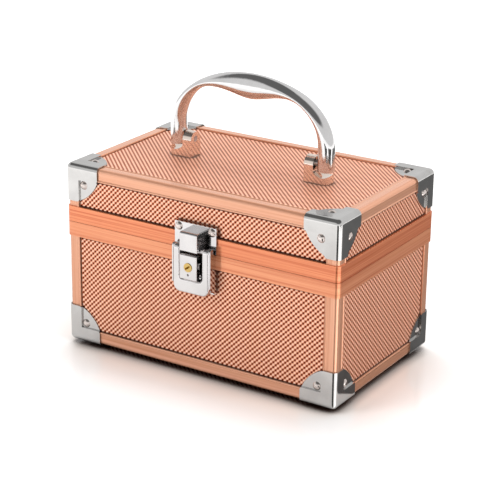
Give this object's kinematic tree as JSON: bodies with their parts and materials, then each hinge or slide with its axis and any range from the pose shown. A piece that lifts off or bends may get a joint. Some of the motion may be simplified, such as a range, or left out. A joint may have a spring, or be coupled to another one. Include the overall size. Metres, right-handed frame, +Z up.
{
  "type": "cosmetic case",
  "caption": "Small hard cosmetic case with a hinged lid, embossed boards in metal edge profiles, corner caps, an arched swing handle and a front key latch.",
  "frame": {"origin": "on the floor under the middle of the overall box, from latch front to hinge heel", "axes": "+X to the right seen from the front, +Y to the back, where the hinges are, +Z up"},
  "size_m": [0.2026, 0.1402, 0.1851],
  "materials": {
    "embossed_board": "metallic rose gold foil embossed with small pyramids",
    "rose_profile": "anodised rose gold, lengthwise brushed",
    "rose_rim": "anodised rose gold, lengthwise brushed",
    "chrome_trim": "polished",
    "steel": "satin",
    "key_brass": "satin",
    "lining": "short-napped",
    "foot": "matt"
  },
  "bodies": {
    "base": {"base_back_left_post": "rose_profile", "base_back_panel": "embossed_board", "base_back_right_post": "rose_profile", "base_front_left_post": "rose_profile", "base_front_panel": "embossed_board", "base_front_right_post": "rose_profile", "base_left_panel": "embossed_board", "base_lining": "lining", "base_right_panel": "embossed_board", "base_rim": "rose_rim", "base_rivets": "chrome_trim", "bottom_back_left_cap": "chrome_trim", "bottom_back_profile": "rose_profile", "bottom_back_right_cap": "chrome_trim", "bottom_front_left_cap": "chrome_trim", "bottom_front_profile": "rose_profile", "bottom_front_right_cap": "chrome_trim", "bottom_left_profile": "rose_profile", "bottom_panel": "embossed_board", "bottom_right_profile": "rose_profile", "feet": "foot", "flap_pin": "steel", "hinge_pins": "steel", "latch_plate": "chrome_trim", "left_hinge_base_leaf": "chrome_trim", "lock_body": "chrome_trim", "right_hinge_base_leaf": "chrome_trim"},
    "lid": {"bracket_screws": "steel", "handle_pins": "steel", "latch_keeper": "chrome_trim", "left_handle_bracket": "chrome_trim", "left_hinge_lid_leaf": "chrome_trim", "lid_back_left_post": "rose_profile", "lid_back_panel": "embossed_board", "lid_back_right_post": "rose_profile", "lid_front_left_post": "rose_profile", "lid_front_panel": "embossed_board", "lid_front_right_post": "rose_profile", "lid_left_panel": "embossed_board", "lid_lining": "lining", "lid_right_panel": "embossed_board", "lid_rim": "rose_rim", "lid_rivets": "chrome_trim", "right_handle_bracket": "chrome_trim", "right_hinge_lid_leaf": "chrome_trim", "top_back_left_cap": "chrome_trim", "top_back_profile": "rose_profile", "top_back_right_cap": "chrome_trim", "top_front_left_cap": "chrome_trim", "top_front_profile": "rose_profile", "top_front_right_cap": "chrome_trim", "top_left_profile": "rose_profile", "top_panel": "embossed_board", "top_right_profile": "rose_profile"},
    "handle": {"handle": "chrome_trim"},
    "flap": {"latch_flap": "chrome_trim"},
    "key": {"key_plug": "key_brass", "lock_cam": "steel"}
  },
  "joints": [
    {"name": "lid_hinge", "type": "hinge", "parent": "base", "child": "lid", "pos_m": [0, 0.0661, 0.08565], "axis": [-1, 0, 0], "range_deg": [0, 95]},
    {"name": "handle_pivot", "type": "hinge", "parent": "lid", "child": "handle", "pos_m": [0, 0.0017, 0.13515], "axis": [1, 0, 0], "range_deg": [-90, 90]},
    {"name": "flap_hinge", "type": "hinge", "parent": "base", "child": "flap", "pos_m": [0, -0.06415, 0.0881], "axis": [-1, 0, 0], "range_deg": [0, 100]},
    {"name": "key_turn", "type": "hinge", "parent": "base", "child": "key", "pos_m": [0, -0.068, 0.0774], "axis": [0, -1, 0], "range_deg": [0, 90]}
  ]
}
